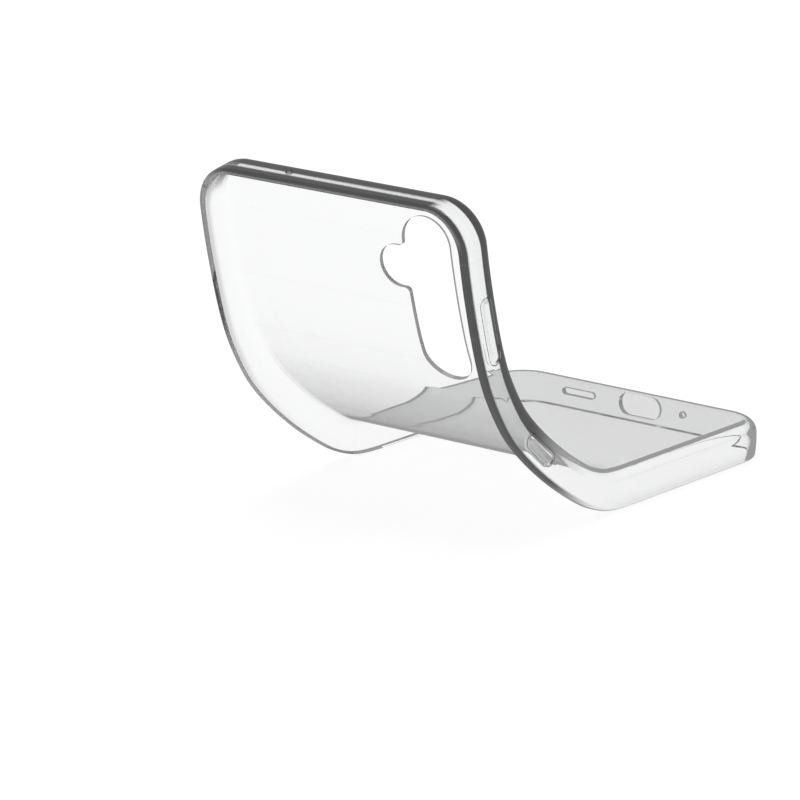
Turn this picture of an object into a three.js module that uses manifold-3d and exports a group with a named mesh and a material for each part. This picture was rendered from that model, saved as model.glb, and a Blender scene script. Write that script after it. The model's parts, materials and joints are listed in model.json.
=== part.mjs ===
// A clear, soft phone case, peeled open from its lens end.
// Everything is in millimetres, +Z up. The case is first made flat, as it is moulded, and is
// then cut across into bands. Each band turns on the one before it about a line in the middle
// of the back panel, so the bands follow the bend that the soft moulding takes.
//
// Flat frame: +X towards the port end, -Y the side with the keys, +Z out through the back.
// The origin lies on the inner face of the back panel, where the phone's back rests.

import * as THREE from "three";
import { mergeVertices } from "three/addons/utils/BufferGeometryUtils.js";
import Module from "manifold-3d";

// Overall size and moulding
const caseLength = 161;
const caseWidth = 79.6;
const caseDepth = 9.6;
const cornerRadius = 11;
const panelThickness = 1.1;
const wallThickness = 1.5;
const backEdgeRadius = 3.2;
const innerEdgeRadius = 1.6;

// The side walls are widest at their belly. Towards the rim they close in and grow thicker, to
// grip the phone. The end walls stand straight.
const bellyDepth = 5.2;
const rimLean = 0.6;
const rimThickening = 0.4;
const rimRadius = 0.6;

// Place of the origin, before the first bend line
const seatFromBend = 31;

// Bend: each line's distance from the lens end, and the angle that it turns at rest
const bendLines = [99, 93.5, 87.5, 73, 58.5, 50.5, 40, 21];
const bendAngles = [11, 13, 9, 8, 13, 8, 13, 5];
const bandGap = 0.36;

// Camera cut-out: a long slot for the lenses with a round lobe for the light
const slotWidth = 13.8;
const slotLength = 42.4;
const slotFromLensEnd = 7.1;
const slotFromCentre = 20.9;
const lobeRadius = 5.3;
const lobeFromSlotTop = 13.6;
const lobeReach = 9.1;
const lobeFillet = 1.2;

// Key covers, in the wall on the -Y side
const keyHeight = 3.4;
const keyProud = 0.4;
const keyClearance = 0.3;
const keyBevel = 0.25;
const volumeKeyLength = 16;
const powerKeyLength = 11.4;

// Openings in the two end walls
const plugWidth = 12.6;
const plugHeight = 6;
const speakerWidth = 10;
const speakerHeight = 1.8;
const speakerFromCentre = 19;
const microphoneRadius = 0.9;
const portMicrophoneFromCentre = 13;
const lensMicrophoneFromCentre = 14;

// Fineness of the rounded shapes
const cornerSteps = 8;
const edgeSteps = 4;
const holeSteps = 8;

// Worked-out places in the flat frame
const lensEndX = -seatFromBend - bendLines[0];
const portEndX = lensEndX + caseLength;
const centreX = (portEndX + lensEndX) / 2;
const backZ = panelThickness;
const rimZ = backZ - caseDepth;
const bellyZ = backZ - bellyDepth;
const pivotZ = panelThickness / 2;
const keySideY = -caseWidth / 2;
const flatX = (fromLensEnd) => lensEndX + fromLensEnd;

const wasm = await Module();
wasm.setup();

// ---- Solids ---------------------------------------------------------------------------------

function toSolid(geometry) {
  const bare = geometry.index ? geometry.toNonIndexed() : geometry.clone();
  bare.deleteAttribute("normal");
  bare.deleteAttribute("uv");
  const merged = mergeVertices(bare, 1e-4);
  const mesh = new wasm.Mesh({
    numProp: 3,
    vertProperties: new Float32Array(merged.attributes.position.array),
    triVerts: new Uint32Array(merged.index.array),
  });
  return new wasm.Manifold(mesh);
}

function toGeometry(solid) {
  const mesh = solid.getMesh();
  const geometry = new THREE.BufferGeometry();
  geometry.setAttribute("position", new THREE.BufferAttribute(mesh.vertProperties, 3));
  geometry.setIndex(new THREE.BufferAttribute(mesh.triVerts, 1));
  geometry.computeVertexNormals();
  return geometry;
}

function boxSolid(low, high) {
  const size = new THREE.Vector3().subVectors(high, low);
  const middle = new THREE.Vector3().addVectors(low, high).multiplyScalar(0.5);
  const geometry = new THREE.BoxGeometry(size.x, size.y, size.z);
  geometry.translate(middle.x, middle.y, middle.z);
  return toSolid(geometry);
}

// Points of a quarter arc as [z, inset], from one angle to another about a centre
function arc(centreZ, centreInset, radius, fromDegrees, toDegrees) {
  const points = [];
  for (let step = 0; step <= edgeSteps; step += 1) {
    const share = step / edgeSteps;
    const angle = THREE.MathUtils.degToRad(fromDegrees + (toDegrees - fromDegrees) * share);
    points.push([centreZ + radius * Math.sin(angle), centreInset - radius * Math.cos(angle)]);
  }
  return points;
}

// The part of their full lean that the side walls have at a height, from the belly to the rim
function closingAt(z) {
  const share = THREE.MathUtils.clamp((bellyZ - z) / (bellyZ - rimZ), 0, 1);
  return share * share;
}

// The case's plan, a rectangle with round corners, drawn in from its full size by two insets
function planRing(endInset, sideInset) {
  const reachX = caseLength / 2 - cornerRadius;
  const reachY = caseWidth / 2 - cornerRadius;
  const ring = [];
  for (let corner = 0; corner < 4; corner += 1) {
    const sideX = corner === 0 || corner === 3 ? 1 : -1;
    const sideY = corner < 2 ? 1 : -1;
    for (let step = 0; step <= cornerSteps; step += 1) {
      const angle = (Math.PI / 2) * (corner + step / cornerSteps);
      const x = centreX + sideX * reachX + (cornerRadius - endInset) * Math.cos(angle);
      const y = sideY * reachY + (cornerRadius - sideInset) * Math.sin(angle);
      ring.push(new THREE.Vector2(x, y));
    }
  }
  return ring;
}

// A solid through a stack of plans, given as [z, inset] from the bottom up
function stackSolid(levels, sideLean) {
  const positions = [];
  const indices = [];
  const count = planRing(0, 0).length;
  for (const [z, inset] of levels) {
    for (const point of planRing(inset, inset + sideLean * closingAt(z))) {
      positions.push(point.x, point.y, z);
    }
  }
  for (let level = 0; level + 1 < levels.length; level += 1) {
    for (let i = 0; i < count; i += 1) {
      const a = level * count + i;
      const b = level * count + ((i + 1) % count);
      indices.push(a, b, b + count);
      indices.push(a, b + count, a + count);
    }
  }
  const top = (levels.length - 1) * count;
  for (let i = 1; i + 1 < count; i += 1) {
    indices.push(0, i + 1, i);
    indices.push(top, top + i, top + i + 1);
  }
  const geometry = new THREE.BufferGeometry();
  geometry.setAttribute("position", new THREE.Float32BufferAttribute(positions, 3));
  geometry.setIndex(indices);
  return toSolid(geometry);
}

// ---- The moulding, flat -----------------------------------------------------------------------

function outerSolid() {
  const levels = arc(rimZ + rimRadius, rimRadius, rimRadius, -90, 0);
  for (const share of [0.35, 0.7, 1]) {
    levels.push([THREE.MathUtils.lerp(rimZ + rimRadius, bellyZ, share), 0]);
  }
  levels.push(...arc(backZ - backEdgeRadius, backEdgeRadius, backEdgeRadius, 0, 90));
  return stackSolid(levels, rimLean);
}

function cavitySolid() {
  const levels = [[rimZ - 1, wallThickness]];
  for (const share of [0, 0.35, 0.7, 1]) {
    levels.push([THREE.MathUtils.lerp(rimZ, bellyZ, share), wallThickness]);
  }
  const edgeInset = wallThickness + innerEdgeRadius;
  levels.push(...arc(-innerEdgeRadius, edgeInset, innerEdgeRadius, 0, 90));
  return stackSolid(levels, rimLean + rimThickening);
}

// ---- Cut-outs ---------------------------------------------------------------------------------

// The camera cut-out's outline: the slot runs along X, and the lobe stands on its inner side
function cameraOutline() {
  const radius = slotWidth / 2;
  const topX = lensEndX + slotFromLensEnd + radius;
  const footX = lensEndX + slotFromLensEnd + slotLength - radius;
  const slotY = -slotFromCentre;
  const sideY = slotY + radius;
  const lobeX = lensEndX + slotFromLensEnd + lobeFromSlotTop;
  const lobeY = slotY + lobeReach;
  const filletY = sideY + lobeFillet;
  const rise = filletY - lobeY;
  const run = Math.sqrt((lobeRadius + lobeFillet) ** 2 - rise ** 2);
  const turn = Math.atan2(rise, run);
  const outline = new THREE.Shape();
  outline.moveTo(topX, slotY - radius);
  outline.lineTo(footX, slotY - radius);
  outline.absarc(footX, slotY, radius, -Math.PI / 2, Math.PI / 2, false);
  outline.lineTo(lobeX + run, sideY);
  outline.absarc(lobeX + run, filletY, lobeFillet, -Math.PI / 2, Math.PI + turn, true);
  outline.absarc(lobeX, lobeY, lobeRadius, turn, Math.PI - turn, false);
  outline.absarc(lobeX - run, filletY, lobeFillet, -turn, -Math.PI / 2, true);
  outline.lineTo(topX, sideY);
  outline.absarc(topX, slotY, radius, Math.PI / 2, Math.PI * 1.5, false);
  return outline;
}

function cameraCut() {
  const options = { depth: panelThickness + 2, bevelEnabled: false, curveSegments: holeSteps * 2 };
  const geometry = new THREE.ExtrudeGeometry(cameraOutline(), options);
  geometry.translate(0, 0, -1);
  return toSolid(geometry);
}

// A slot with round ends, centred on zero: width across, height up
function roundSlot(width, height) {
  const radius = height / 2;
  const reach = width / 2 - radius;
  const outline = new THREE.Shape();
  outline.moveTo(-reach, -radius);
  outline.lineTo(reach, -radius);
  outline.absarc(reach, 0, radius, -Math.PI / 2, Math.PI / 2, false);
  outline.lineTo(-reach, radius);
  outline.absarc(-reach, 0, radius, Math.PI / 2, Math.PI * 1.5, false);
  return outline;
}

// A round-ended hole through an end wall, at a place across the case
function endWallCut(wallX, y, width, height) {
  const depth = wallThickness * 4;
  const options = { depth, bevelEnabled: false, curveSegments: holeSteps };
  const geometry = new THREE.ExtrudeGeometry(roundSlot(width, height), options);
  geometry.translate(0, 0, -depth / 2);
  geometry.rotateX(Math.PI / 2);
  geometry.rotateZ(Math.PI / 2);
  geometry.translate(wallX, y, bellyZ);
  return toSolid(geometry);
}

function microphoneCut(wallX, y) {
  const geometry = new THREE.CylinderGeometry(
    microphoneRadius, microphoneRadius, wallThickness * 4, holeSteps * 2);
  geometry.rotateZ(Math.PI / 2);
  geometry.translate(wallX, y, bellyZ);
  return toSolid(geometry);
}

// A window in the key-side wall, or the cover that moves in it
function keySolid(x, length, height, innerY, outerY, bevel) {
  const options = {
    depth: innerY - outerY - 2 * bevel,
    bevelEnabled: bevel > 0,
    bevelSize: bevel,
    bevelThickness: bevel,
    bevelOffset: -bevel,
    bevelSegments: 1,
    curveSegments: holeSteps,
  };
  const geometry = new THREE.ExtrudeGeometry(roundSlot(length, height), options);
  geometry.rotateX(Math.PI / 2);
  geometry.translate(x, innerY - bevel, bellyZ);
  return toSolid(geometry);
}

// ---- Bands and key covers -----------------------------------------------------------------------

const bandEdges = [caseLength, ...bendLines, 0];
const bandCount = bendLines.length + 1;

function bandName(index) {
  if (index === 0) return "port_end_shell";
  if (index === bandCount - 1) return "lens_end_shell";
  return `bend_band_${index}`;
}

const bandMiddle = (index) => flatX((bandEdges[index] + bandEdges[index + 1]) / 2);
const keys = [
  { name: "power_key_cover", band: 4, length: powerKeyLength },
  { name: "volume_key_cover", band: 7, length: volumeKeyLength },
];

function flatShell() {
  let shell = outerSolid().subtract(cavitySolid());
  shell = shell.subtract(cameraCut());
  shell = shell.subtract(endWallCut(portEndX, 0, plugWidth, plugHeight));
  shell = shell.subtract(endWallCut(portEndX, speakerFromCentre, speakerWidth, speakerHeight));
  shell = shell.subtract(microphoneCut(portEndX, -portMicrophoneFromCentre));
  shell = shell.subtract(microphoneCut(lensEndX, lensMicrophoneFromCentre));
  for (const key of keys) {
    const length = key.length + 2 * keyClearance;
    const height = keyHeight + 2 * keyClearance;
    const innerY = keySideY + wallThickness + 1;
    shell = shell.subtract(
      keySolid(bandMiddle(key.band), length, height, innerY, keySideY - 1, 0));
  }
  return shell;
}

function cutBand(shell, index, lowY, highY) {
  const isFirst = index === 0;
  const isLast = index === bandCount - 1;
  const highX = isFirst ? portEndX + 1 : flatX(bandEdges[index]) - bandGap / 2;
  const lowX = isLast ? lensEndX - 1 : flatX(bandEdges[index + 1]) + bandGap / 2;
  const low = new THREE.Vector3(lowX, lowY, rimZ - 1);
  const high = new THREE.Vector3(highX, highY, backZ + 1);
  return shell.intersect(boxSolid(low, high));
}

// A band that the camera slot crosses from edge to edge is two pieces, one on each side of it
function bandPieces(shell, index) {
  const name = bandName(index);
  const slotEnd = slotFromLensEnd + slotLength;
  const crossed = bandEdges[index + 1] >= slotFromLensEnd && bandEdges[index] <= slotEnd;
  if (!crossed) return [{ name, solid: cutBand(shell, index, -caseWidth, caseWidth) }];
  return [
    { name, solid: cutBand(shell, index, -slotFromCentre, caseWidth) },
    { name: `${name}_key_side`, solid: cutBand(shell, index, -caseWidth, -slotFromCentre) },
  ];
}

const clearPlastic = {
  color: 0xeef1f2,
  roughness: 0.08,
  metalness: 0,
  transparent: true,
  opacity: 0.35,
};

function namedMesh(name, solid, pivotX) {
  const geometry = toGeometry(solid);
  geometry.translate(-pivotX, 0, -pivotZ);
  const mesh = new THREE.Mesh(geometry, new THREE.MeshStandardMaterial(clearPlastic));
  mesh.name = name;
  return mesh;
}

// The chain of bands: each group's origin is the bend line that its band turns on
const part = new THREE.Group();
const shell = flatShell();
let parent = part;
let parentPivot = new THREE.Vector3(0, 0, 0);
for (let index = 0; index < bandCount; index += 1) {
  const pivotX = index === 0 ? 0 : flatX(bandEdges[index]);
  const group = new THREE.Group();
  group.position.set(pivotX - parentPivot.x, 0, pivotZ - parentPivot.z);
  if (index > 0) group.rotation.y = THREE.MathUtils.degToRad(bendAngles[index - 1]);
  for (const piece of bandPieces(shell, index)) {
    group.add(namedMesh(piece.name, piece.solid, pivotX));
  }
  for (const key of keys.filter((entry) => entry.band === index)) {
    const innerY = keySideY + wallThickness;
    const cover = keySolid(
      bandMiddle(index), key.length, keyHeight, innerY, keySideY - keyProud, keyBevel);
    group.add(namedMesh(key.name, cover, pivotX));
  }
  parent.add(group);
  parent = group;
  parentPivot = new THREE.Vector3(pivotX, 0, pivotZ);
}

export default part;
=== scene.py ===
"""A clear, soft phone case, peeled open from its lens end, on a pale studio floor."""
import json
import math

import bmesh
import bpy
import numpy as np
from mathutils import Matrix, Vector

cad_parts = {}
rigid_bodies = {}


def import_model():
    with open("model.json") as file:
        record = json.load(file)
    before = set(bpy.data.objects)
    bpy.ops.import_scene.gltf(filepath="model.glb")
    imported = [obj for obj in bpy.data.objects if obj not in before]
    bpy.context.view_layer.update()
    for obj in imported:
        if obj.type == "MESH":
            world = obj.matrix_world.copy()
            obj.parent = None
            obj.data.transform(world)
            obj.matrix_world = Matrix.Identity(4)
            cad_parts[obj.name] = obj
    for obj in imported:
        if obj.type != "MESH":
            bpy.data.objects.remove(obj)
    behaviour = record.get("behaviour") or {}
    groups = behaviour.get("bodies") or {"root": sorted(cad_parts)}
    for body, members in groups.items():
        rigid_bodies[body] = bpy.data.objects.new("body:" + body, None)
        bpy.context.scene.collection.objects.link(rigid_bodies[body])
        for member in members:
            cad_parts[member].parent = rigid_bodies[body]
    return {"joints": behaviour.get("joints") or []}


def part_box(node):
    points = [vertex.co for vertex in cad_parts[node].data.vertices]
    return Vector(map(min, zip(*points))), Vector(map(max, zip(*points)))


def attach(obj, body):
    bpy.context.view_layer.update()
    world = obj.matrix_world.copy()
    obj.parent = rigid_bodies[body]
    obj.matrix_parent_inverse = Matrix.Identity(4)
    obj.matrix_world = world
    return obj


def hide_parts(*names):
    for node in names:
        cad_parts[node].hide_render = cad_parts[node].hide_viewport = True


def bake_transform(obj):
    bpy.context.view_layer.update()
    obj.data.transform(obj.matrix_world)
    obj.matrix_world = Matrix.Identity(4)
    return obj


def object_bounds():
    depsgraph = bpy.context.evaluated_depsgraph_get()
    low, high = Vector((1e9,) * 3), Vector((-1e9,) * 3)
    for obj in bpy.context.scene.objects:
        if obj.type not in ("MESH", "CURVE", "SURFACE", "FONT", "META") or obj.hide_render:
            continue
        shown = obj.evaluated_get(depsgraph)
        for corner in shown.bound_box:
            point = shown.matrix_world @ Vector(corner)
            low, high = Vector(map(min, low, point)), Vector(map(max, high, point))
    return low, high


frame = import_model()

cad_box = [list(corner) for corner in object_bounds()]
MM = 0.001
scene = bpy.context.scene

# ---- Camera ---------------------------------------------------------------------------------
# A long lens looks down a little on the peeled side of the case, from its lens end and from
# the side with the keys.
VIEW_AZIMUTH = math.radians(-50.99)
VIEW_ELEVATION = math.radians(15.5)
VIEW_DISTANCE = 1285.9 * MM
VIEW_LENS = 231.1
SENSOR_WIDTH = 36.0
VIEW_REACH = 20.0
view_target = Vector((1.7, 53.8, -5.0)) * MM
view_back = Vector((
    math.sin(VIEW_AZIMUTH) * math.cos(VIEW_ELEVATION),
    -math.cos(VIEW_AZIMUTH) * math.cos(VIEW_ELEVATION),
    math.sin(VIEW_ELEVATION),
))
camera_data = bpy.data.cameras.new("camera")
camera_data.lens = VIEW_LENS
camera_data.sensor_width = SENSOR_WIDTH
camera_data.clip_end = VIEW_REACH
camera = bpy.data.objects.new("camera", camera_data)
camera.location = view_target + view_back * VIEW_DISTANCE
camera.rotation_euler = view_back.to_track_quat("Z", "Y").to_euler()
scene.collection.objects.link(camera)
scene.camera = camera

# ---- Studio ---------------------------------------------------------------------------------
# The case stands on a plain pale light table, which glows evenly, under one soft box. Beyond
# the table the room is dimmer: light that is turned aside inside the thick clear edges finds
# only the room, so the edges draw darker, while the thin walls and the panel stay light.
FLOOR_Z = cad_box[0][2]
FLOOR_SIZE = 8.0
FLOOR_GREY = 0.3
FLOOR_GLOW = 0.86
ROOM_GREY = 0.33
GUIDED_BOUNCES = 120
THROUGH_BOUNCES = 64
BOX_HEIGHT = 1.6
BOX_SIZE = (1.2, 1.2)
BOX_POWER = 8.0
BOX_X, BOX_Y = 0.1, 0.2


def pale_table():
    """Glows for light that comes straight through the case, and is dim for light turned aside."""
    material = bpy.data.materials.new("pale_table")
    material.use_nodes = True
    tree = material.node_tree
    tree.nodes.remove(tree.nodes["Principled BSDF"])
    surface = tree.nodes.new("ShaderNodeBsdfDiffuse")
    surface.inputs["Color"].default_value = (FLOOR_GREY, FLOOR_GREY, FLOOR_GREY, 1.0)
    glow = tree.nodes.new("ShaderNodeEmission")
    glow.inputs["Strength"].default_value = FLOOR_GLOW
    lit = tree.nodes.new("ShaderNodeAddShader")
    dim = tree.nodes.new("ShaderNodeEmission")
    dim.inputs["Strength"].default_value = ROOM_GREY
    path = tree.nodes.new("ShaderNodeLightPath")
    turned = tree.nodes.new("ShaderNodeMath")
    turned.operation = "GREATER_THAN"
    turned.inputs[1].default_value = 0.5
    seen = tree.nodes.new("ShaderNodeMixShader")
    tree.links.new(surface.outputs["BSDF"], lit.inputs[0])
    tree.links.new(glow.outputs["Emission"], lit.inputs[1])
    tree.links.new(path.outputs["Glossy Depth"], turned.inputs[0])
    tree.links.new(turned.outputs["Value"], seen.inputs["Fac"])
    tree.links.new(lit.outputs["Shader"], seen.inputs[1])
    tree.links.new(dim.outputs["Emission"], seen.inputs[2])
    tree.links.new(seen.outputs["Shader"], tree.nodes["Material Output"].inputs["Surface"])
    return material


floor_bm = bmesh.new()
bmesh.ops.create_grid(floor_bm, x_segments=4, y_segments=4, size=FLOOR_SIZE / 2)
bmesh.ops.translate(floor_bm, verts=floor_bm.verts, vec=(0, 0, FLOOR_Z))
floor_mesh = bpy.data.meshes.new("floor")
floor_bm.to_mesh(floor_mesh)
floor_bm.free()
floor_mesh.materials.append(pale_table())
floor = bpy.data.objects.new("floor", floor_mesh)
scene.collection.objects.link(floor)

world = bpy.data.worlds.new("studio_world")
world.use_nodes = True
background = world.node_tree.nodes["Background"]
background.inputs["Color"].default_value = (ROOM_GREY, ROOM_GREY, ROOM_GREY, 1.0)
scene.world = world
scene.view_settings.view_transform = "Standard"
scene.cycles.max_bounces = GUIDED_BOUNCES
scene.cycles.glossy_bounces = GUIDED_BOUNCES
scene.cycles.transmission_bounces = GUIDED_BOUNCES
scene.cycles.transparent_max_bounces = THROUGH_BOUNCES


def soft_light(name, location, aim, size, power):
    """A soft box at a place in metres, turned to face a point."""
    data = bpy.data.lights.new(name, "AREA")
    data.shape = "RECTANGLE"
    data.size, data.size_y = size
    data.energy = power
    light = bpy.data.objects.new(name, data)
    light.location = location
    direction = Vector(location) - Vector(aim)
    light.rotation_euler = direction.to_track_quat("Z", "Y").to_euler()
    scene.collection.objects.link(light)
    return light


soft_light("overhead_box", (BOX_X, BOX_Y, BOX_HEIGHT), (BOX_X, BOX_Y, 0), BOX_SIZE, BOX_POWER)

# ---- Clear moulding material ------------------------------------------------------------------
# Soft colourless elastomer, moulded in a polished tool: clear and glossy, with a faint flow
# texture that dulls the gloss here and there. Its thick edges carry painted shade: a dark grey in the
# base colour, in place of the dark room they refract, where they are seen at grazing angles and
# along the back edge and rim; two edge attributes say where along the moulding it is painted.
CLEAR = (0.985, 0.988, 0.99)
PAINTED_EDGE_SHADE = (0.112, 0.112, 0.114)
GRAZING_FROM = 0.43
GRAZING_TO = 0.6
REFRACTION = 1.5
FLOW_SCALE = 60.0
FLOW_DETAIL = 3.0
DULLEST = 0.02


def clear_elastomer(name):
    material = bpy.data.materials.new(name)
    material.use_nodes = True
    tree = material.node_tree
    shader = tree.nodes["Principled BSDF"]
    # Painted shade: the two edge attributes and the grazing angle mix a dark grey into the base
    # colour and take out transmission.
    depth = tree.nodes.new("ShaderNodeAttribute")
    depth.attribute_name = "painted_edge_shade"
    line_shade = tree.nodes.new("ShaderNodeAttribute")
    line_shade.attribute_name = "painted_edge_line"
    view = tree.nodes.new("ShaderNodeLayerWeight")
    grazing = tree.nodes.new("ShaderNodeMapRange")
    grazing.interpolation_type = "SMOOTHSTEP"
    grazing.inputs["From Min"].default_value = GRAZING_FROM
    grazing.inputs["From Max"].default_value = GRAZING_TO
    grazing_shade = tree.nodes.new("ShaderNodeMath")
    grazing_shade.operation = "MULTIPLY"
    painted_shade = tree.nodes.new("ShaderNodeMath")
    painted_shade.operation = "MAXIMUM"
    tree.links.new(view.outputs["Facing"], grazing.inputs["Value"])
    tree.links.new(grazing.outputs["Result"], grazing_shade.inputs[0])
    tree.links.new(depth.outputs["Fac"], grazing_shade.inputs[1])
    tree.links.new(grazing_shade.outputs["Value"], painted_shade.inputs[0])
    tree.links.new(line_shade.outputs["Fac"], painted_shade.inputs[1])
    tint = tree.nodes.new("ShaderNodeMix")
    tint.data_type = "RGBA"
    tint.inputs["A"].default_value = (*CLEAR, 1.0)
    tint.inputs["B"].default_value = (*PAINTED_EDGE_SHADE, 1.0)
    tree.links.new(painted_shade.outputs["Value"], tint.inputs["Factor"])
    tree.links.new(tint.outputs["Result"], shader.inputs["Base Color"])
    clearness = tree.nodes.new("ShaderNodeMath")
    clearness.operation = "SUBTRACT"
    clearness.inputs[0].default_value = 1.0
    tree.links.new(painted_shade.outputs["Value"], clearness.inputs[1])
    tree.links.new(clearness.outputs["Value"], shader.inputs["Transmission Weight"])
    shader.inputs["IOR"].default_value = REFRACTION
    place = tree.nodes.new("ShaderNodeTexCoord")
    flow = tree.nodes.new("ShaderNodeTexNoise")
    flow.inputs["Scale"].default_value = FLOW_SCALE
    flow.inputs["Detail"].default_value = FLOW_DETAIL
    gloss = tree.nodes.new("ShaderNodeMapRange")
    gloss.inputs["To Min"].default_value = 0.0
    gloss.inputs["To Max"].default_value = DULLEST
    tree.links.new(place.outputs["Object"], flow.inputs["Vector"])
    tree.links.new(flow.outputs["Fac"], gloss.inputs["Value"])
    tree.links.new(gloss.outputs["Result"], shader.inputs["Roughness"])
    return material


def seam_material():
    """The cut between two lengths of the same moulding: nothing is there to be seen."""
    material = bpy.data.materials.new("moulding_join")
    material.use_nodes = True
    tree = material.node_tree
    tree.nodes.remove(tree.nodes["Principled BSDF"])
    clear = tree.nodes.new("ShaderNodeBsdfTransparent")
    tree.links.new(clear.outputs["BSDF"], tree.nodes["Material Output"].inputs["Surface"])
    return material


shell_clear = clear_elastomer("clear_shell")
shell_join = seam_material()

# ---- The moulding, flat -----------------------------------------------------------------------
# The whole case is one piece, drawn round its plan as one wall section: the back panel, its
# round edge, the wall, whose long sides close in towards the rim, and the cavity's smooth inside.
BACK_Z = 1.1 * MM
CASE_LENGTH = 160.97 * MM
CASE_WIDTH = 79.6 * MM
CASE_DEPTH = 9.6 * MM
CORNER_RADIUS = 11.0 * MM
BACK_EDGE_RADIUS = 3.4 * MM
INNER_EDGE_RADIUS = 1.6 * MM
WALL = 1.5 * MM
BELLY_DEPTH = 5.2 * MM
RIM_LEAN = 0.6 * MM
RIM_THICKENING = 0.4 * MM
RIM_RADIUS = 0.65 * MM
MOUTH_RADIUS = 0.2 * MM
PANEL_SUPPORT = 0.25 * MM
RIM_Z = BACK_Z - CASE_DEPTH
BELLY_Z = BACK_Z - BELLY_DEPTH
PORT_END_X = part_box("port_end_shell")[1].x
LENS_END_X = PORT_END_X - CASE_LENGTH
CENTRE_X = (PORT_END_X + LENS_END_X) / 2
CORNER_STEPS = 18
ARC_STEPS = 8
SHOULDER_STEPS = 6
BELLY_STEPS = 7
RIM_STEPS = 5
MOUTH_STEPS = 3
INSIDE_STEPS = 8


def arc_levels(centre_z, centre_inset, radius, start, end, steps=ARC_STEPS):
    """Heights and insets round an arc of the wall section, angles in degrees."""
    levels = []
    for step in range(steps + 1):
        angle = math.radians(start + (end - start) * step / steps)
        levels.append((centre_z + radius * math.sin(angle), centre_inset - radius * math.cos(angle)))
    return levels


def closing_at(z):
    """The part of their full lean that the side walls have at a height, from belly to rim."""
    share = min(1.0, max(0.0, (BELLY_Z - z) / (BELLY_Z - RIM_Z)))
    return share * share


def wall_section():
    """The wall's outline as (height, end inset, side inset), from the back round the rim."""
    shoulder = BACK_Z - BACK_EDGE_RADIUS
    foot = RIM_Z + RIM_RADIUS
    outside = [(BACK_Z, BACK_EDGE_RADIUS + PANEL_SUPPORT)]
    outside += arc_levels(shoulder, BACK_EDGE_RADIUS, BACK_EDGE_RADIUS, 90, 0)
    outside += [
        (shoulder + (BELLY_Z - shoulder) * step / SHOULDER_STEPS, 0.0)
        for step in range(1, SHOULDER_STEPS)
    ]
    outside += [(BELLY_Z + (foot - BELLY_Z) * step / BELLY_STEPS, 0.0) for step in range(BELLY_STEPS)]
    outside += arc_levels(foot, RIM_RADIUS, RIM_RADIUS, 0, -90, RIM_STEPS)
    inside = arc_levels(RIM_Z + MOUTH_RADIUS, WALL - MOUTH_RADIUS, -MOUTH_RADIUS, 90, 0, MOUTH_STEPS)
    inside += [
        (RIM_Z + (BELLY_Z - RIM_Z) * step / INSIDE_STEPS, WALL)
        for step in range(1, INSIDE_STEPS + 1)
    ]
    edge = WALL + INNER_EDGE_RADIUS
    inside += arc_levels(-INNER_EDGE_RADIUS, edge, INNER_EDGE_RADIUS, 0, 90)
    inside.append((0.0, edge + PANEL_SUPPORT))
    levels = [(z, inset, inset + RIM_LEAN * closing_at(z)) for z, inset in outside]
    inner_lean = RIM_LEAN + RIM_THICKENING
    levels += [(z, inset, inset + inner_lean * closing_at(z)) for z, inset in inside]
    return levels


def plan_face(bm, half_length, half_width, radius):
    """One flat face with round corners, centred on zero."""
    made = bmesh.ops.create_grid(bm, x_segments=1, y_segments=1, size=0.5)
    bmesh.ops.scale(bm, verts=made["verts"], vec=(2 * half_length, 2 * half_width, 1.0))
    bmesh.ops.bevel(
        bm, geom=made["verts"], offset=radius, offset_type="OFFSET", segments=CORNER_STEPS,
        profile=0.5, affect="VERTICES", material=-1)


def set_ring(verts, reach_x, reach_y, radius, z, end_inset, side_inset):
    """Moves a ring of a round-cornered plan to a height, drawn in by its two insets."""
    for vert in verts:
        corner = Vector((math.copysign(reach_x, vert.co.x), math.copysign(reach_y, vert.co.y)))
        outward = (vert.co.xy - corner).normalized()
        insets = Vector((radius - end_inset, radius - side_inset))
        vert.co.xy = corner + outward * insets
        vert.co.z = z


def set_level(verts, level):
    reach_x = CASE_LENGTH / 2 - CORNER_RADIUS
    reach_y = CASE_WIDTH / 2 - CORNER_RADIUS
    set_ring(verts, reach_x, reach_y, CORNER_RADIUS, *level)


def grow_rings(bm, loop, levels, place):
    """Extrudes a ring of edges once for each level, and gives back the last ring."""
    for level in levels:
        grown = bmesh.ops.extrude_edge_only(bm, edges=loop)["geom"]
        verts = [item for item in grown if isinstance(item, bmesh.types.BMVert)]
        place(verts, level)
        fresh = set(verts)
        loop = [
            item for item in grown
            if isinstance(item, bmesh.types.BMEdge) and all(v in fresh for v in item.verts)
        ]
    return loop


def flat_moulding():
    bm = bmesh.new()
    levels = wall_section()
    plan_face(bm, CASE_LENGTH / 2, CASE_WIDTH / 2, CORNER_RADIUS)
    set_level(bm.verts, levels[0])
    last = grow_rings(bm, list(bm.edges), levels[1:], set_level)
    bmesh.ops.edgeloop_fill(bm, edges=last)
    bmesh.ops.recalc_face_normals(bm, faces=bm.faces)
    bmesh.ops.translate(bm, verts=bm.verts, vec=(CENTRE_X, 0, 0))
    return bm


def object_from(name, bm, *materials):
    mesh = bpy.data.meshes.new(name)
    bm.to_mesh(mesh)
    bm.free()
    for material in materials:
        mesh.materials.append(material)
    made = bpy.data.objects.new(name, mesh)
    scene.collection.objects.link(made)
    return made


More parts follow.
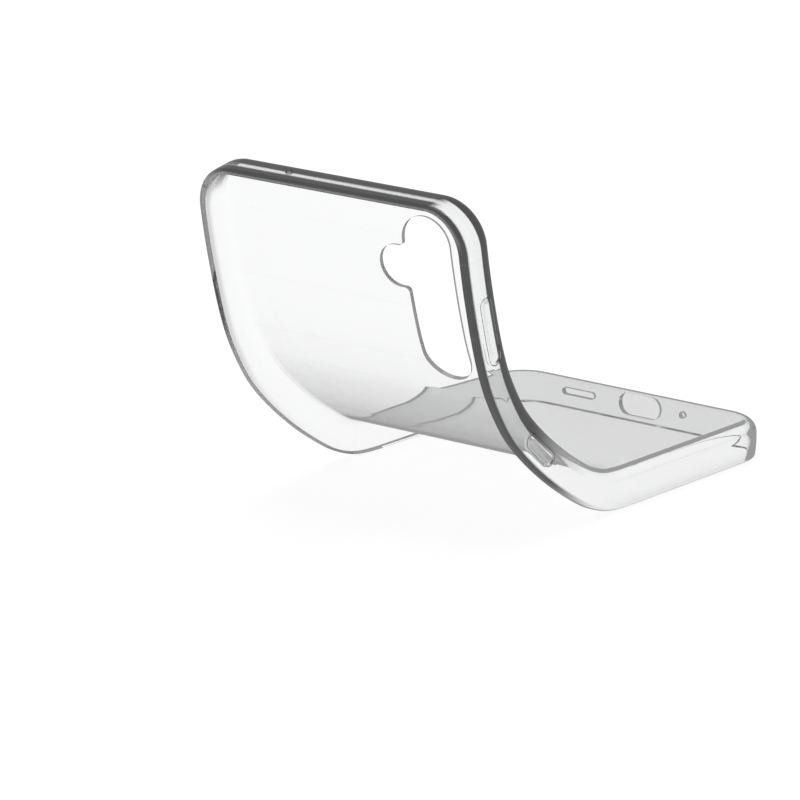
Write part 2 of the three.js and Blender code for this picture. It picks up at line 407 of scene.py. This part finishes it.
# ---- Openings -----------------------------------------------------------------------------------
# The camera cut-out is a long slot with a round lobe for the light. The port end has its plug,
# speaker and microphone openings, the lens end a microphone hole, and the key side two windows.
SLOT_WIDTH = 13.8 * MM
SLOT_LENGTH = 42.4 * MM
SLOT_FROM_LENS_END = 7.1 * MM
SLOT_FROM_CENTRE = 20.9 * MM
LOBE_RADIUS = 5.3 * MM
LOBE_FROM_SLOT_TOP = 13.6 * MM
LOBE_REACH = 9.1 * MM
LOBE_FILLET = 1.2 * MM
KEY_HEIGHT = 3.4 * MM
KEY_CLEARANCE = 0.3 * MM
PLUG_SIZE = (12.6 * MM, 6.0 * MM)
SPEAKER_SIZE = (10.0 * MM, 1.8 * MM)
SPEAKER_FROM_CENTRE = 19.0 * MM
MICROPHONE_RADIUS = 0.9 * MM
PORT_MICROPHONE_FROM_CENTRE = 13.0 * MM
LENS_MICROPHONE_FROM_CENTRE = 14.0 * MM
HOLE_EDGE_RADIUS = 0.16 * MM
SLOT_END_STEPS = 20
CUT_OUT_STEPS = 24
NEARLY_ROUND = 0.999
CUTTER_SPARE = 1.0 * MM
CUTTER_DEPTH = 6 * WALL
WINDOW_DEPTH = 4 * WALL
WELD_REACH = 0.01 * MM


def round_slot(width, height, depth):
    """A bar with round ends: width along X, height along Y, centred, standing depth along Z."""
    bm = bmesh.new()
    made = bmesh.ops.create_grid(bm, x_segments=1, y_segments=1, size=0.5)
    bmesh.ops.scale(bm, verts=made["verts"], vec=(width, height, 1.0))
    bmesh.ops.bevel(
        bm, geom=made["verts"], offset=height / 2 * NEARLY_ROUND, offset_type="OFFSET",
        segments=SLOT_END_STEPS, profile=0.5, affect="VERTICES", material=-1)
    bmesh.ops.remove_doubles(bm, verts=bm.verts, dist=WELD_REACH)
    bmesh.ops.translate(bm, verts=bm.verts, vec=(0, 0, -depth / 2))
    grown = bmesh.ops.extrude_face_region(bm, geom=list(bm.faces))["geom"]
    top = [item for item in grown if isinstance(item, bmesh.types.BMVert)]
    bmesh.ops.translate(bm, verts=top, vec=(0, 0, depth))
    bmesh.ops.recalc_face_normals(bm, faces=bm.faces)
    return bm


def turn(bm, axis, degrees):
    rotation = Matrix.Rotation(math.radians(degrees), 3, axis)
    bmesh.ops.rotate(bm, verts=bm.verts, cent=(0, 0, 0), matrix=rotation)


def camera_cutter():
    """The slot and its lobe in one outline, with the two inner corners rounded off."""
    bm = bmesh.new()
    top_x = LENS_END_X + SLOT_FROM_LENS_END
    foot_x = top_x + SLOT_LENGTH
    lobe_x = top_x + LOBE_FROM_SLOT_TOP
    low_y = -SLOT_FROM_CENTRE - SLOT_WIDTH / 2
    side_y = -SLOT_FROM_CENTRE + SLOT_WIDTH / 2
    lobe_y = -SLOT_FROM_CENTRE + LOBE_REACH + LOBE_RADIUS
    outline = [
        (top_x, low_y), (foot_x, low_y), (foot_x, side_y), (lobe_x + LOBE_RADIUS, side_y),
        (lobe_x + LOBE_RADIUS, lobe_y), (lobe_x - LOBE_RADIUS, lobe_y),
        (lobe_x - LOBE_RADIUS, side_y), (top_x, side_y),
    ]
    corners = [bm.verts.new((x, y, -CUTTER_SPARE)) for x, y in outline]
    bm.faces.new(corners)
    radii = [SLOT_WIDTH / 2] * 3 + [LOBE_FILLET] + [LOBE_RADIUS] * 2 + [LOBE_FILLET, SLOT_WIDTH / 2]
    for radius in (SLOT_WIDTH / 2, LOBE_RADIUS, LOBE_FILLET):
        chosen = [vert for vert, own in zip(corners, radii) if own == radius]
        bmesh.ops.bevel(
            bm, geom=chosen, offset=radius * NEARLY_ROUND, offset_type="OFFSET",
            segments=CUT_OUT_STEPS, profile=0.5, affect="VERTICES", material=-1)
    grown = bmesh.ops.extrude_face_region(bm, geom=list(bm.faces))["geom"]
    top = [item for item in grown if isinstance(item, bmesh.types.BMVert)]
    bmesh.ops.translate(bm, verts=top, vec=(0, 0, BACK_Z + 2 * CUTTER_SPARE))
    bmesh.ops.recalc_face_normals(bm, faces=bm.faces)
    return bm


def end_wall_cutter(wall_x, y, width, height):
    bm = round_slot(width, height, CUTTER_DEPTH)
    turn(bm, "X", 90)
    turn(bm, "Z", 90)
    bmesh.ops.translate(bm, verts=bm.verts, vec=(wall_x, y, BELLY_Z))
    return bm


def microphone_cutter(wall_x, y):
    bm = bmesh.new()
    bmesh.ops.create_cone(
        bm, cap_ends=True, segments=CUT_OUT_STEPS, radius1=MICROPHONE_RADIUS,
        radius2=MICROPHONE_RADIUS, depth=CUTTER_DEPTH)
    turn(bm, "Y", 90)
    bmesh.ops.translate(bm, verts=bm.verts, vec=(wall_x, y, BELLY_Z))
    return bm


def cut_with(target, cutter_bm, side_slot=0):
    for face in cutter_bm.faces:
        face.material_index = side_slot
    cutter = object_from("cutter", cutter_bm, shell_clear, shell_join)
    modifier = target.modifiers.new("cut", "BOOLEAN")
    modifier.operation = "DIFFERENCE"
    modifier.solver = "EXACT"
    modifier.object = cutter
    graph = bpy.context.evaluated_depsgraph_get()
    result = bpy.data.meshes.new_from_object(target.evaluated_get(graph))
    target.modifiers.clear()
    old = target.data
    target.data = result
    bpy.data.meshes.remove(old)
    bpy.data.objects.remove(cutter)


# ---- Bend ---------------------------------------------------------------------------------------
# Peeled back, the moulding bends smoothly. Its middle line is one curve that is steered by the
# bend lines in the frame and runs straight into the flat port end and the straight lens end.
PIVOT_Z = BACK_Z / 2
FOOT_SEAM = 6.0 * MM
LENS_SEAM = 8.0 * MM
EVEN_LENGTHS = 1e-9

peels = [j for j in frame["joints"] if j["name"].startswith("peel_")]
peels.sort(key=lambda j: j["name"])
bend_points = [Vector((j["pos_m"][0], j["pos_m"][2])) for j in peels]
full_turn = math.radians(sum(j["range_deg"][1] for j in peels))
lens_along = Vector((-math.cos(full_turn), math.sin(full_turn)))

flat_lines = [bend_points[0].x]
for near, far in zip(bend_points, bend_points[1:]):
    flat_lines.append(flat_lines[-1] - (far - near).length)
flat_seams = [flat_lines[0] + FOOT_SEAM]
flat_seams += [(near + far) / 2 for near, far in zip(flat_lines, flat_lines[1:])]
flat_seams.append(flat_lines[-1] - LENS_SEAM)
seam_points = [Vector((flat_seams[0], PIVOT_Z))]
seam_points += [(near + far) / 2 for near, far in zip(bend_points, bend_points[1:])]
seam_points.append(bend_points[-1] + lens_along * LENS_SEAM)


def middle_line(flat_x):
    """The bent middle line's place and turn, for a distance along the flat case."""
    if flat_x >= flat_seams[0]:
        return Vector((flat_x, PIVOT_Z)), 0.0
    if flat_x <= flat_seams[-1]:
        return seam_points[-1] + lens_along * (flat_seams[-1] - flat_x), full_turn
    index = max(k for k in range(len(flat_lines)) if flat_x <= flat_seams[k])
    before = flat_seams[index] - flat_lines[index]
    after = flat_lines[index] - flat_seams[index + 1]
    along = flat_lines[index] - flat_x
    if abs(after - before) < EVEN_LENGTHS:
        u = (before + along) / (2 * before)
    else:
        root = before * before + (after - before) * (before + along)
        u = (math.sqrt(root) - before) / (after - before)
    start, steer, end = seam_points[index], bend_points[index], seam_points[index + 1]
    place = start * (1 - u) ** 2 + steer * (2 * u * (1 - u)) + end * u * u
    along_line = (steer - start) * (1 - u) + (end - steer) * u
    return place, math.atan2(along_line.y, -along_line.x)


# Where painted shade darkens the edges, as distances over which it fades: in from the wall's outside,
# down from the back or up from the rim. The lens end keeps a clear streak and a clear strip without
# painted shade.
WALL_FADE = (2.4 * MM, 3.2 * MM)
OUTSIDE_FADE = (1.1 * MM, 1.4 * MM)
STREAK_DEPTH = 6.3 * MM
STREAK_FADE = (0.4 * MM, 0.8 * MM)
STRIP_HEIGHT_FADE = (0.35 * MM, 0.65 * MM)
STRIP_INSET_FADE = (0.25 * MM, 0.5 * MM)
LINE_SHADE_DEPTH = 4.3 * MM
LINE_SHADE_FADE = 0.3 * MM
BACKWARD_FADE = 1.0 * MM
RIM_FACE_FADE = (0.05 * MM, 0.15 * MM)
RIM_LINE_SHADE_FADE = (0.7 * MM, 1.1 * MM)
FAR_SIDE_SHADE = 0.25


def fade(value, full, none):
    """One up to the first distance, nothing from the second, and smooth between."""
    share = min(1.0, max(0.0, (value - full) / (none - full)))
    return 1.0 - share * share * (3 - 2 * share)


def painted_shade_shares(place):
    """How much painted shade a point of the flat case gets, on its grazing edges and as dark lines
    along the back edge and rim.
    """
    beyond_x = abs(place.x - CENTRE_X) - (CASE_LENGTH / 2 - CORNER_RADIUS)
    beyond_y = abs(place.y) - (CASE_WIDTH / 2 - CORNER_RADIUS)
    reach = max(beyond_x, beyond_y)
    endward = 1.0 if beyond_x > beyond_y else 0.0
    if beyond_x > 0 and beyond_y > 0:
        reach = math.hypot(beyond_x, beyond_y)
        endward = (beyond_x / reach) ** 2
    inset = CORNER_RADIUS - reach
    below = BACK_Z - place.z
    above_rim = place.z - RIM_Z
    # The painted shade lies only along the peeled length, fading out towards the flat port end, and
    # is weaker on the side away from the keys.
    back_fade = fade(place.x, flat_lines[4], flat_lines[2])
    rim_fade = fade(place.x, flat_lines[3], flat_lines[0])
    backward = fade(below, LINE_SHADE_DEPTH, LINE_SHADE_DEPTH + BACKWARD_FADE)
    raised = back_fade * backward + rim_fade * (1.0 - backward)
    key_side = 1.0 if place.y < 0 else endward
    streak = fade(abs(below - STREAK_DEPTH), *STREAK_FADE)
    rim_strip = fade(above_rim, *STRIP_HEIGHT_FADE) * (1.0 - fade(inset, *STRIP_INSET_FADE))
    # depth is the share of painted shade over the grazing edges.
    depth = fade(inset, *WALL_FADE) * raised * (1.0 - endward * max(streak, rim_strip))
    depth *= FAR_SIDE_SHADE + (1.0 - FAR_SIDE_SHADE) * key_side
    outside = fade(inset, *OUTSIDE_FADE)
    line_shade_reach = BACK_EDGE_RADIUS + (LINE_SHADE_DEPTH - BACK_EDGE_RADIUS) * back_fade
    back_line_shade = outside * fade(below, line_shade_reach, line_shade_reach + LINE_SHADE_FADE)
    rim_face = fade(above_rim, *RIM_FACE_FADE) * (1.0 - endward * rim_strip)
    rim_line_shade = max(rim_face, outside * fade(above_rim, *RIM_LINE_SHADE_FADE))
    return depth, key_side * raised * max(back_line_shade, rim_line_shade)


def bend(mesh, stiff_x=None, suppleness=1.0):
    """Bends a flat mesh along the middle line, and turns its surface normals with it.

    A stiffer piece bends only part of the way from the line's tangent at stiff_x."""
    # Each point keeps its painted edge shade, worked out on the flat case.
    depth = mesh.attributes.new("painted_edge_shade", "FLOAT", "POINT")
    line_shade = mesh.attributes.new("painted_edge_line", "FLOAT", "POINT")
    for vert in mesh.vertices:
        shares = painted_shade_shares(vert.co)
        depth.data[vert.index].value, line_shade.data[vert.index].value = shares
    normals = np.zeros(len(mesh.loops) * 3)
    mesh.corner_normals.foreach_get("vector", normals)
    normals = normals.reshape(-1, 3)
    turns = np.zeros(len(mesh.vertices))
    for vert in mesh.vertices:
        place, angle = middle_line(vert.co.x)
        if stiff_x is not None:
            middle, lean = middle_line(stiff_x)
            straight = middle + (stiff_x - vert.co.x) * Vector((-math.cos(lean), math.sin(lean)))
            place = straight.lerp(place, suppleness)
            angle = lean + (angle - lean) * suppleness
        rise = vert.co.z - PIVOT_Z
        turns[vert.index] = angle
        vert.co = (place.x + rise * math.sin(angle), vert.co.y, place.y + rise * math.cos(angle))
    of_corner = np.zeros(len(mesh.loops), np.int32)
    mesh.loops.foreach_get("vertex_index", of_corner)
    angle = turns[of_corner]
    turned = np.stack([
        normals[:, 0] * np.cos(angle) + normals[:, 2] * np.sin(angle),
        normals[:, 1],
        normals[:, 2] * np.cos(angle) - normals[:, 0] * np.sin(angle),
    ], axis=1)
    mesh.normals_split_custom_set(turned.tolist())


# ---- Shell --------------------------------------------------------------------------------------
# The moulding is cut out flat and cross-cut into one length for each bend line, and each length is
# bent once to the peeled shape. The cuts are where nothing bends.
CROSS_STEP = 0.7 * MM
JOIN_GAP = 0.005 * MM
SMOOTH_ANGLE = math.radians(38)
SHARP_EDGE = math.radians(50)
FIRST_STEP_SHARE = 0.37
SAME_PLACE = 1e-7
ON_CUT = 1e-8

keys = [
    {"name": "power_key", "node": "power_key_cover", "length": 11.4 * MM, "line": 3},
    {"name": "volume_key", "node": "volume_key_cover", "length": 16.0 * MM, "line": 6},
]
for key in keys:
    key["x"] = (flat_lines[key["line"]] + flat_lines[key["line"] + 1]) / 2

moulding = object_from("moulding", flat_moulding(), shell_clear, shell_join)
cut_with(moulding, camera_cutter())
cut_with(moulding, end_wall_cutter(PORT_END_X, 0, *PLUG_SIZE))
cut_with(moulding, end_wall_cutter(PORT_END_X, SPEAKER_FROM_CENTRE, *SPEAKER_SIZE))
cut_with(moulding, microphone_cutter(PORT_END_X, -PORT_MICROPHONE_FROM_CENTRE))
cut_with(moulding, microphone_cutter(LENS_END_X, LENS_MICROPHONE_FROM_CENTRE))
for key in keys:
    room = 2 * KEY_CLEARANCE
    window = round_slot(key["length"] + room, KEY_HEIGHT + room, WINDOW_DEPTH)
    turn(window, "X", 90)
    bmesh.ops.translate(window, verts=window.verts, vec=(key["x"], -CASE_WIDTH / 2, BELLY_Z))
    cut_with(moulding, window, side_slot=1)

shell_bm = bmesh.new()
shell_bm.from_mesh(moulding.data)
bpy.data.objects.remove(moulding)
bmesh.ops.remove_doubles(shell_bm, verts=shell_bm.verts, dist=SAME_PLACE)
sharp = [
    edge for edge in shell_bm.edges
    if edge.calc_face_angle(0) > SHARP_EDGE and not any(f.material_index for f in edge.link_faces)
]
bmesh.ops.bevel(
    shell_bm, geom=sharp, offset=HOLE_EDGE_RADIUS, offset_type="OFFSET", segments=2, profile=0.5,
    affect="EDGES", clamp_overlap=True, material=-1)


def cross_cut(bm, cut_x, **closing):
    """Divides every face that crosses a plane square to the case's length."""
    everything = list(bm.verts) + list(bm.edges) + list(bm.faces)
    facing = {"plane_no": (1, 0, 0), **closing}
    return bmesh.ops.bisect_plane(
        bm, geom=everything, dist=ON_CUT, plane_co=(cut_x, 0, 0), **facing)


for step in range(1, int((flat_seams[0] - flat_seams[-1]) / CROSS_STEP)):
    cross_cut(shell_bm, flat_seams[0] - (step + FIRST_STEP_SHARE) * CROSS_STEP)


def even_normals(target):
    """Lets the broad faces set the shading, so that small edge radii don't tilt them."""
    target.data.set_sharp_from_angle(angle=SMOOTH_ANGLE)
    weighted = target.modifiers.new("even", "WEIGHTED_NORMAL")
    weighted.mode = "FACE_AREA"
    weighted.keep_sharp = True
    graph = bpy.context.evaluated_depsgraph_get()
    result = bpy.data.meshes.new_from_object(target.evaluated_get(graph))
    target.modifiers.clear()
    old = target.data
    target.data = result
    bpy.data.meshes.remove(old)


def shell_length(name, high_x, low_x):
    """The part of the moulding between two cross-cuts, closed at both, and bent to its place."""
    bm = shell_bm.copy()
    for cut_x, side in ((high_x, 1), (low_x, -1)):
        if cut_x is None:
            continue
        cut = cross_cut(bm, cut_x - side * JOIN_GAP, plane_no=(side, 0, 0), clear_outer=True)
        edges = [item for item in cut["geom_cut"] if isinstance(item, bmesh.types.BMEdge)]
        for face in bmesh.ops.holes_fill(bm, edges=edges, sides=0)["faces"]:
            face.material_index = 1
    bmesh.ops.recalc_face_normals(bm, faces=bm.faces)
    for face in bm.faces:
        face.smooth = face.material_index == 0
    made = object_from(name, bm, shell_clear, shell_join)
    even_normals(made)
    bend(made.data)
    return made


port_end = shell_length("port_end_skin", None, flat_seams[0])
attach(port_end, "port_end")
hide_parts("port_end_shell")

bodies = [peels[0]["parent"]] + [j["child"] for j in peels]
replaced = [f"bend_band_{number}" for number in range(1, 8)] + ["bend_band_7_key_side"]
for index, joint in enumerate(peels):
    length = shell_length(f"bend_skin_{index + 1}", flat_seams[index], flat_seams[index + 1])
    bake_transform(length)
    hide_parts(replaced[index])

lens_end = shell_length("lens_end_skin", flat_seams[-1], None)
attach(lens_end, "lens_end")
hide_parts("lens_end_shell")
shell_bm.free()

# ---- Key covers ---------------------------------------------------------------------------------
# Low swells of the same moulding over the power and volume keys, a little proud of the wall.
# Their thin web to the wall is too fine to see, so each nearly fills its window and slides in
# it. A cover is stiffer than the wall around it, and bends with it only part of the way.
KEY_PROUD = 0.3 * MM
CROWN_HALF_WIDTH = 0.5 * MM
SWELL_STEPS = 7
SIDE_FACE = 0.1
COVER_SUPPLENESS = 0.8
COVER_GAP = 0.16 * MM


def key_cover(length, height):
    """A bar with round ends, flat inside, and swelling outside to a smooth crown."""
    bm = round_slot(length, height, WALL)
    radius = height / 2
    crown = max(bm.faces, key=lambda face: face.calc_center_median().z)
    loop = list(crown.edges)
    bmesh.ops.delete(bm, geom=[crown], context="FACES_ONLY")
    levels = []
    for step in range(1, SWELL_STEPS + 1):
        share = step / SWELL_STEPS
        rise = KEY_PROUD * share * share * (3 - 2 * share)
        inset = (radius - CROWN_HALF_WIDTH) * share
        levels.append((length / 2 - radius, 0.0, radius, WALL / 2 + rise, inset, inset))
    last = grow_rings(bm, loop, levels, lambda verts, level: set_ring(verts, *level))
    bmesh.ops.edgeloop_fill(bm, edges=last)
    bmesh.ops.recalc_face_normals(bm, faces=bm.faces)
    for face in bm.faces:
        face.material_index = 1 if abs(face.normal.z) < SIDE_FACE else 0
        face.smooth = face.material_index == 0
    return bm


for key in keys:
    room = 2 * (KEY_CLEARANCE - COVER_GAP)
    bm = key_cover(key["length"] + room, KEY_HEIGHT + room)
    turn(bm, "X", 90)
    bmesh.ops.translate(bm, verts=bm.verts, vec=(key["x"], -(CASE_WIDTH - WALL) / 2, BELLY_Z))
    for vert in bm.verts:
        inside = vert.co.y > -(CASE_WIDTH - WALL) / 2
        lean = RIM_LEAN + RIM_THICKENING if inside else RIM_LEAN
        vert.co.y += lean * closing_at(vert.co.z)
    for step in range(1, int(key["length"] / CROSS_STEP) + 1):
        cut_x = key["x"] - key["length"] / 2 + (step - 0.5) * CROSS_STEP
        cross_cut(bm, cut_x)
    cover = object_from(f"{key['name']}_cover_skin", bm, shell_clear, shell_join)
    even_normals(cover)
    bend(cover.data, key["x"], COVER_SUPPLENESS)
    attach(cover, key["name"])
    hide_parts(key["node"])
